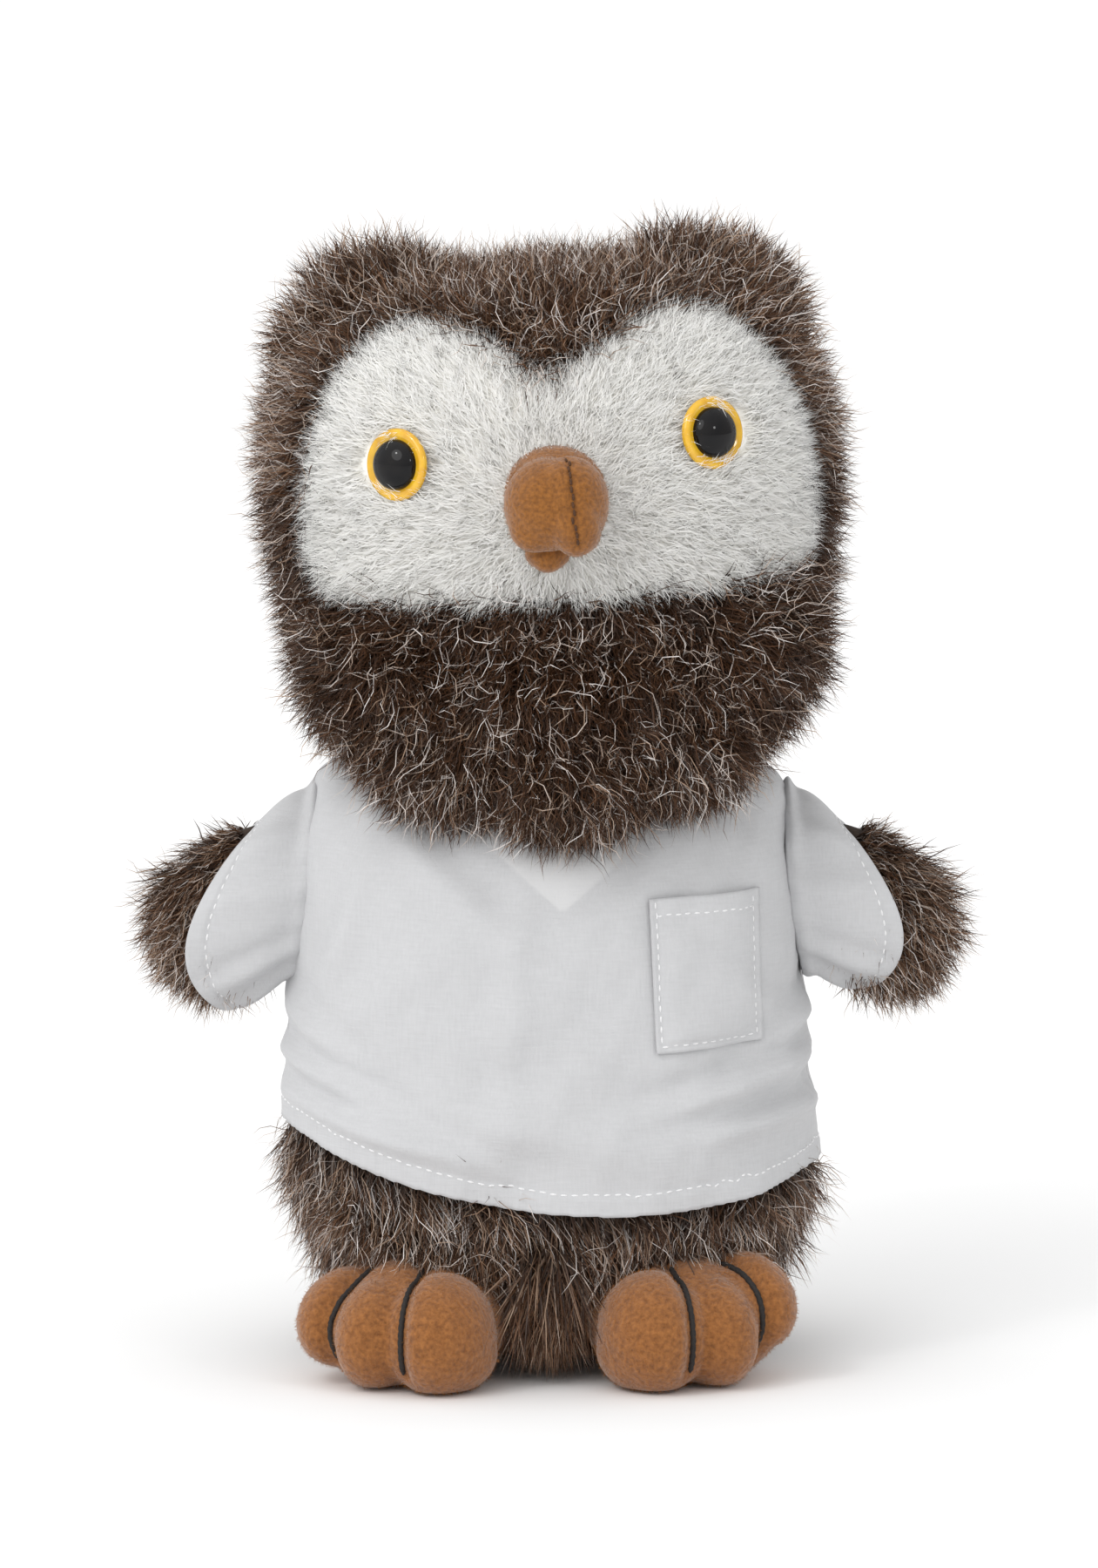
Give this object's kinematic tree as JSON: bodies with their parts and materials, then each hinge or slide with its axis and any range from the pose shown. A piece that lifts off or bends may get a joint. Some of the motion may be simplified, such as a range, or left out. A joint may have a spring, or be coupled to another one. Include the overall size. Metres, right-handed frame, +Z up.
{
  "type": "plush owl in a scrub top",
  "caption": "Free-standing stuffed owl with long brown pile, a white face and felt beak, wearing a white V-neck scrub top with a chest pocket.",
  "frame": {"origin": "centre of the base panel's underside, which stands on the floor", "axes": "+Z up, -Y the way the owl faces, +X the owl's left"},
  "size_m": [0.158, 0.1144, 0.2174],
  "materials": {
    "brown_pile": "matte",
    "white_pile": "matte",
    "beak_felt": "matte",
    "foot_felt": "matte",
    "dark_thread": "matte",
    "white_thread": "matte",
    "cotton": "matte",
    "base_cloth": "matte",
    "stuffing": "matte",
    "pellets": "matte",
    "iris_plastic": "gloss",
    "pupil_plastic": "gloss",
    "washer_plastic": "matte"
  },
  "bodies": {
    "torso": {"body_cover": "brown_pile", "body_stuffing": "stuffing", "base_panel": "base_cloth", "pellet_bag": "pellets", "shirt_front": "cotton", "shirt_back": "cotton", "neck_facing": "cotton", "chest_pocket": "cotton", "pocket_stitching": "white_thread", "hem_stitching": "white_thread"},
    "neck": {"neck_plug": "stuffing"},
    "head": {"head_cover": "brown_pile", "head_stuffing": "stuffing", "face_patch": "white_pile", "beak_upper": "beak_felt", "beak_lower": "beak_felt", "beak_stuffing": "stuffing", "beak_seam": "dark_thread", "left_iris": "iris_plastic", "left_pupil": "pupil_plastic", "left_eye_washer": "washer_plastic", "right_iris": "iris_plastic", "right_pupil": "pupil_plastic", "right_eye_washer": "washer_plastic"},
    "left_wing": {"left_wing_cover": "brown_pile", "left_wing_stuffing": "stuffing", "left_sleeve": "cotton", "left_sleeve_stitching": "white_thread"},
    "left_foot": {"left_foot_cover": "foot_felt", "left_foot_stuffing": "stuffing", "left_toe_stitches": "dark_thread"},
    "right_wing": {"right_wing_cover": "brown_pile", "right_wing_stuffing": "stuffing", "right_sleeve": "cotton", "right_sleeve_stitching": "white_thread"},
    "right_foot": {"right_foot_cover": "foot_felt", "right_foot_stuffing": "stuffing", "right_toe_stitches": "dark_thread"}
  },
  "joints": [
    {"name": "head_turn", "type": "hinge", "parent": "torso", "child": "neck", "pos_m": [0, 0, 0.12], "axis": [0, 0, 1], "range_deg": [-25, 25], "stiffness_Nm_per_rad": 0.15},
    {"name": "head_nod", "type": "hinge", "parent": "neck", "child": "head", "pos_m": [0, 0, 0.12], "axis": [1, 0, 0], "range_deg": [-10, 8], "stiffness_Nm_per_rad": 0.4},
    {"name": "left_wing_lift", "type": "hinge", "parent": "torso", "child": "left_wing", "pos_m": [0.045, 0, 0.098], "axis": [0, -1, 0], "range_deg": [-5, 50], "stiffness_Nm_per_rad": 0.05},
    {"name": "right_wing_lift", "type": "hinge", "parent": "torso", "child": "right_wing", "pos_m": [-0.045, 0, 0.098], "axis": [0, 1, 0], "range_deg": [-5, 50], "stiffness_Nm_per_rad": 0.05},
    {"name": "left_foot_lift", "type": "hinge", "parent": "torso", "child": "left_foot", "pos_m": [0.027, -0.027, 0.007], "axis": [-1, 0, 0], "range_deg": [0, 20], "stiffness_Nm_per_rad": 0.08},
    {"name": "right_foot_lift", "type": "hinge", "parent": "torso", "child": "right_foot", "pos_m": [-0.027, -0.027, 0.007], "axis": [-1, 0, 0], "range_deg": [0, 20], "stiffness_Nm_per_rad": 0.08}
  ]
}
